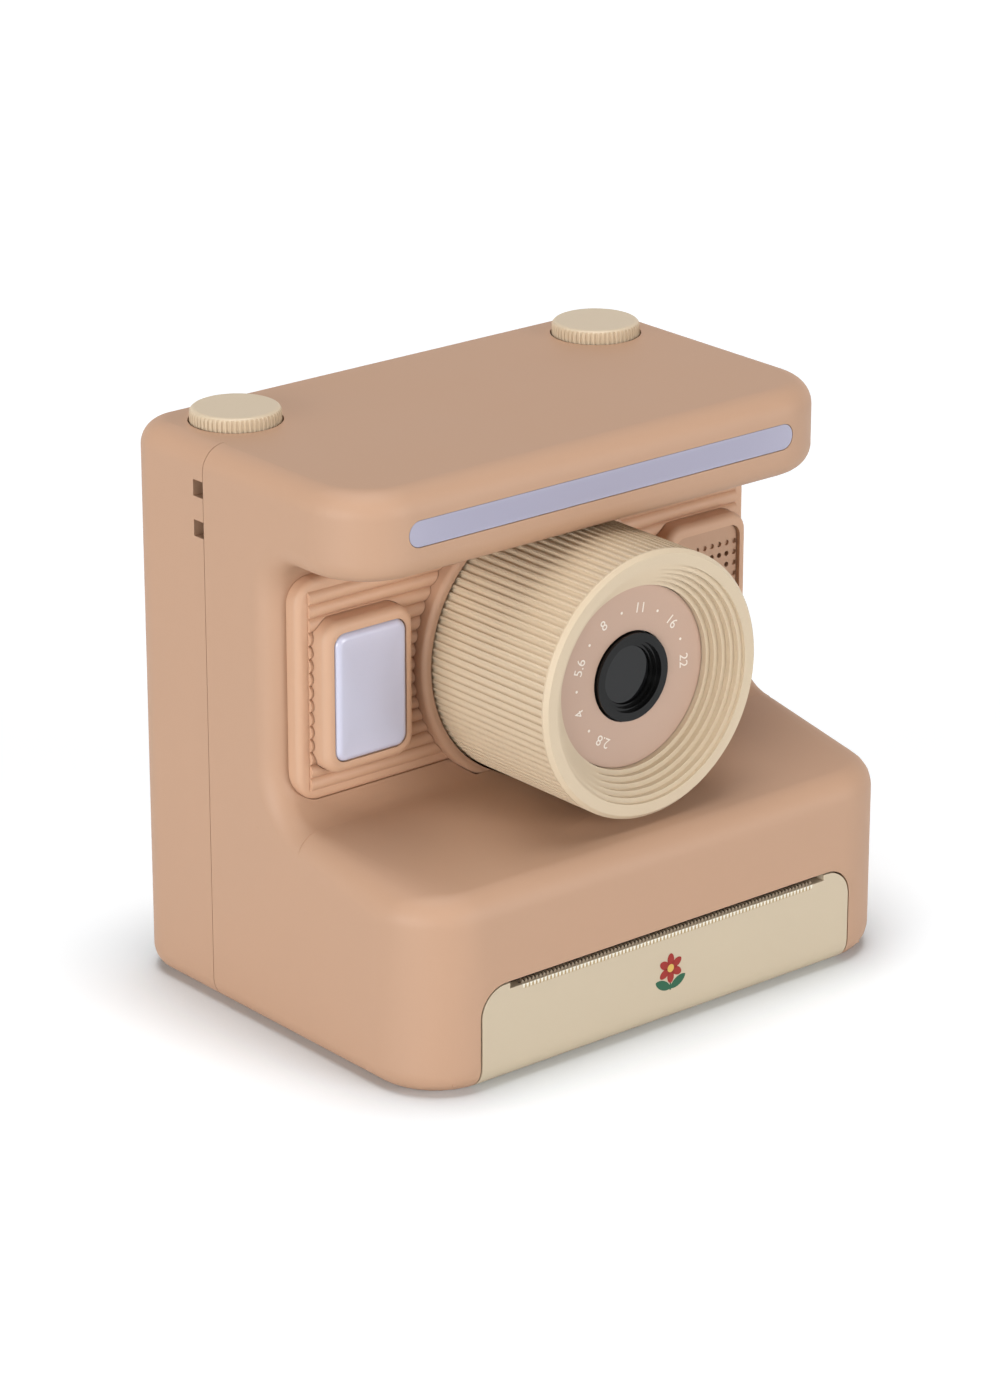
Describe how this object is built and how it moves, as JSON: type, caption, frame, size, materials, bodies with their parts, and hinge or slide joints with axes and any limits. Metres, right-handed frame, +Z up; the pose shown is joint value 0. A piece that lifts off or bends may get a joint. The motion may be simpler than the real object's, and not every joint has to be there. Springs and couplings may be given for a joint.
{
  "type": "instant-print toy camera",
  "caption": "Boxy toy camera with a hood over a recessed ribbed front, a turning ribbed lens barrel, knurled top buttons and a fold-down door over a thermal paper printer.",
  "frame": {"origin": "under the middle of the base, at the centre of the bounding box's bottom", "axes": "+X across the camera to the viewer's right when the lens faces the viewer, -Y the way the lens looks, +Z up"},
  "size_m": [0.096, 0.072, 0.0916],
  "materials": {
    "blush_plastic": "soft satin, moulded",
    "cream_plastic": "soft satin, moulded",
    "face_print": "satin plate with a plain scale",
    "black_gloss": "polished",
    "lens_glass": "clear, coated",
    "milk_plastic": "milky, light-diffusing",
    "dark_plastic": "fine grain",
    "circuit_board": "solder resist",
    "foil": "smooth pouch",
    "steel": "plain",
    "brass": "machined",
    "white_plastic": "moulded",
    "black_rubber": "ground",
    "paper": "smooth thermal paper",
    "card": "plain card"
  },
  "bodies": {
    "camera": {"rear_shell": "blush_plastic", "front_shell": "blush_plastic", "case_screws": "steel", "front_panel": "blush_plastic", "lens_collar": "blush_plastic", "lens_tube": "dark_plastic", "lens_bezel": "black_gloss", "lens_glass": "lens_glass", "camera_module": "black_gloss", "flash_bezel": "blush_plastic", "flash_diffuser": "milk_plastic", "flash_board": "circuit_board", "speaker_bezel": "blush_plastic", "speaker_grille": "blush_plastic", "speaker_driver": "dark_plastic", "light_strip": "milk_plastic", "light_board": "circuit_board", "switch_boards": "circuit_board", "button_switches": "dark_plastic", "screen_window": "black_gloss", "screen_panel": "black_gloss", "main_board": "circuit_board", "battery": "foil", "usb_socket": "steel", "card_socket": "steel", "key_switches": "dark_plastic", "door_hinge_pins": "steel", "idler_axle": "steel", "drive_motor": "steel", "motor_plate": "steel", "printer_frame": "dark_plastic", "thermal_head": "white_plastic", "head_bracket": "steel", "paper_strip": "paper"},
    "lens_ring": {"lens_barrel": "cream_plastic", "lens_face_plate": "face_print"},
    "shutter": {"shutter_button": "cream_plastic"},
    "print": {"print_button": "cream_plastic"},
    "up_key": {"key_up": "cream_plastic"},
    "down_key": {"key_down": "cream_plastic"},
    "left_key": {"key_left": "cream_plastic"},
    "right_key": {"key_right": "cream_plastic"},
    "ok_key": {"key_ok": "cream_plastic"},
    "door": {"paper_door": "cream_plastic", "tear_bar": "white_plastic"},
    "platen": {"platen_roller": "black_rubber", "platen_shaft": "steel", "platen_gear": "white_plastic"},
    "idler": {"idler_gear": "white_plastic"},
    "pinion": {"motor_pinion": "brass"},
    "roll": {"paper_roll": "paper", "roll_core": "card"}
  },
  "joints": [
    {"name": "lens_turn", "type": "hinge", "parent": "camera", "child": "lens_ring", "pos_m": [0, -0.024, 0.054], "axis": [0, -1, 0], "continuous": true},
    {"name": "shutter_press", "type": "slide", "parent": "camera", "child": "shutter", "axis": [0, 0, -1], "range_m": [0, 0.001], "stiffness_N_per_m": 1000, "springref_m": -0.0004},
    {"name": "print_press", "type": "slide", "parent": "camera", "child": "print", "axis": [0, 0, -1], "range_m": [0, 0.001], "stiffness_N_per_m": 1000, "springref_m": -0.0004},
    {"name": "up_press", "type": "slide", "parent": "camera", "child": "up_key", "axis": [0, -1, 0], "range_m": [0, 0.0005], "stiffness_N_per_m": 1500, "springref_m": -0.0002},
    {"name": "down_press", "type": "slide", "parent": "camera", "child": "down_key", "axis": [0, -1, 0], "range_m": [0, 0.0005], "stiffness_N_per_m": 1500, "springref_m": -0.0002},
    {"name": "left_press", "type": "slide", "parent": "camera", "child": "left_key", "axis": [0, -1, 0], "range_m": [0, 0.0005], "stiffness_N_per_m": 1500, "springref_m": -0.0002},
    {"name": "right_press", "type": "slide", "parent": "camera", "child": "right_key", "axis": [0, -1, 0], "range_m": [0, 0.0005], "stiffness_N_per_m": 1500, "springref_m": -0.0002},
    {"name": "ok_press", "type": "slide", "parent": "camera", "child": "ok_key", "axis": [0, -1, 0], "range_m": [0, 0.0005], "stiffness_N_per_m": 1500, "springref_m": -0.0002},
    {"name": "door_open", "type": "hinge", "parent": "camera", "child": "door", "pos_m": [0, -0.032, 0.004], "axis": [1, 0, 0], "range_deg": [0, 90]},
    {"name": "platen_spin", "type": "hinge", "parent": "door", "child": "platen", "pos_m": [0, -0.0305, 0.01234], "axis": [1, 0, 0], "continuous": true},
    {"name": "idler_spin", "type": "hinge", "parent": "camera", "child": "idler", "pos_m": [0.033, -0.02228, 0.01059], "axis": [1, 0, 0], "continuous": true},
    {"name": "pinion_spin", "type": "hinge", "parent": "camera", "child": "pinion", "pos_m": [0.033, -0.01848, 0.01717], "axis": [1, 0, 0], "continuous": true},
    {"name": "roll_spin", "type": "hinge", "parent": "camera", "child": "roll", "pos_m": [0, -0.01196, 0.016], "axis": [1, 0, 0], "continuous": true}
  ],
  "couplings": [
    {"joint": "idler_spin", "follows": "platen_spin", "ratio": -0.61538},
    {"joint": "pinion_spin", "follows": "platen_spin", "ratio": 1.3333},
    {"joint": "roll_spin", "follows": "platen_spin", "ratio": -0.29268}
  ]
}
